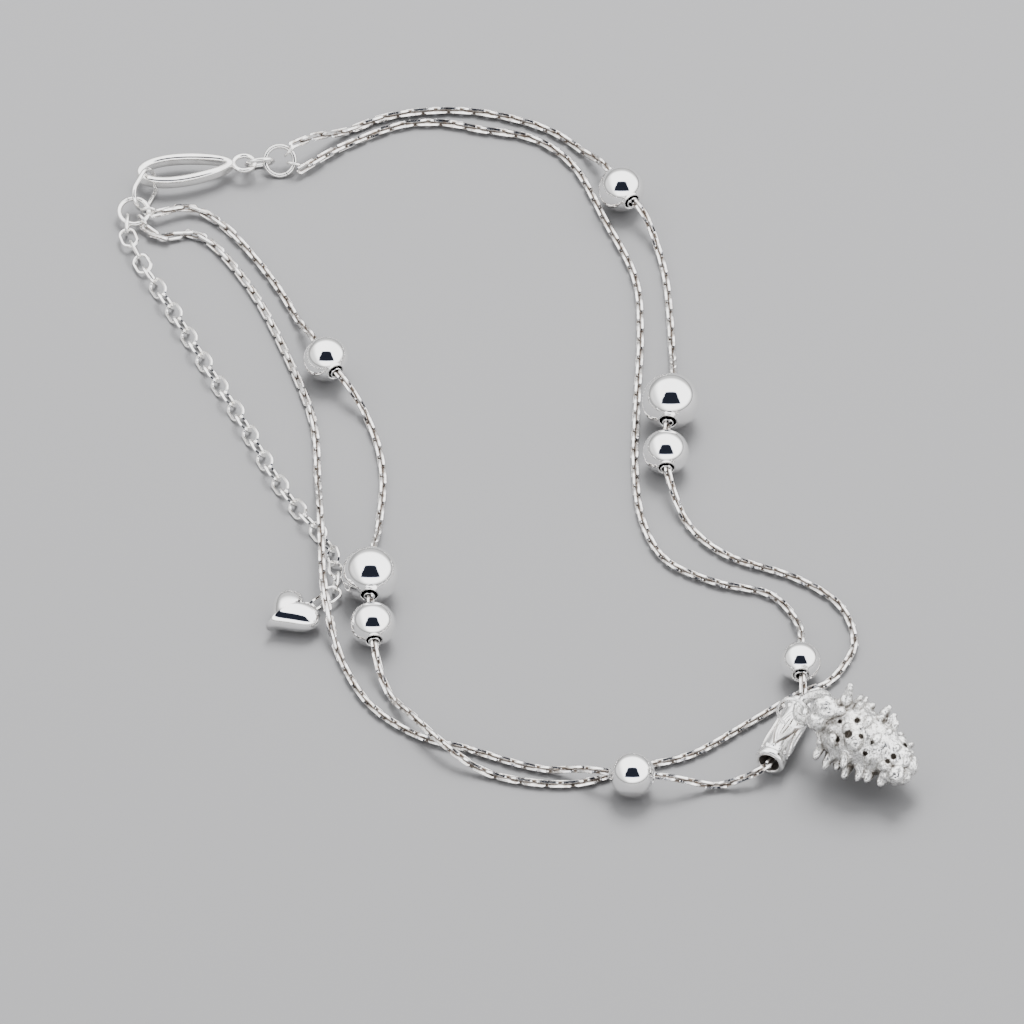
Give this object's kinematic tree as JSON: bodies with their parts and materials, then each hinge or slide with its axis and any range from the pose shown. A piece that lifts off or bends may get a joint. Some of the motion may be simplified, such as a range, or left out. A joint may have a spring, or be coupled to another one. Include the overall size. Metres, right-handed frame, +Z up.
{
  "type": "charm anklet",
  "caption": "Fastened double-chain anklet in bright silver with round beads, a carved tube bead, a pine cone charm and an extender chain with a puffed heart.",
  "frame": {"origin": "middle of the underside of the anklet as it lies flat, on the surface it lies on", "axes": "+Z up from the surface, +Y along the loop's longer way from the pine cone's end towards the clasp's end, +X towards the pine cone's side"},
  "size_m": [0.0698, 0.086, 0.0085],
  "materials": {
    "polished_silver": "mirror-polished silver",
    "chain_silver": "bright drawn silver wire",
    "cast_silver": "cast silver, bright on the high places and dull in the hollows"
  },
  "bodies": {
    "root": {"bead_strand": "chain_silver", "charm_strand": "chain_silver", "extender_chain": "chain_silver", "tube_bead": "cast_silver", "pine_cone": "cast_silver", "heart": "polished_silver", "end_ring_left": "polished_silver", "end_ring_right": "polished_silver", "clasp_ring": "polished_silver", "catch_link": "polished_silver", "clasp": "polished_silver", "bead_strand_link_left": "chain_silver", "bead_strand_link_right": "chain_silver", "charm_strand_link_left": "chain_silver", "charm_strand_link_right": "chain_silver", "bead_1": "polished_silver", "bead_2": "polished_silver", "bead_3": "polished_silver", "bead_4": "polished_silver", "bead_5": "polished_silver", "bead_6": "polished_silver", "bead_7": "polished_silver", "bead_8": "polished_silver"}
  },
  "joints": []
}
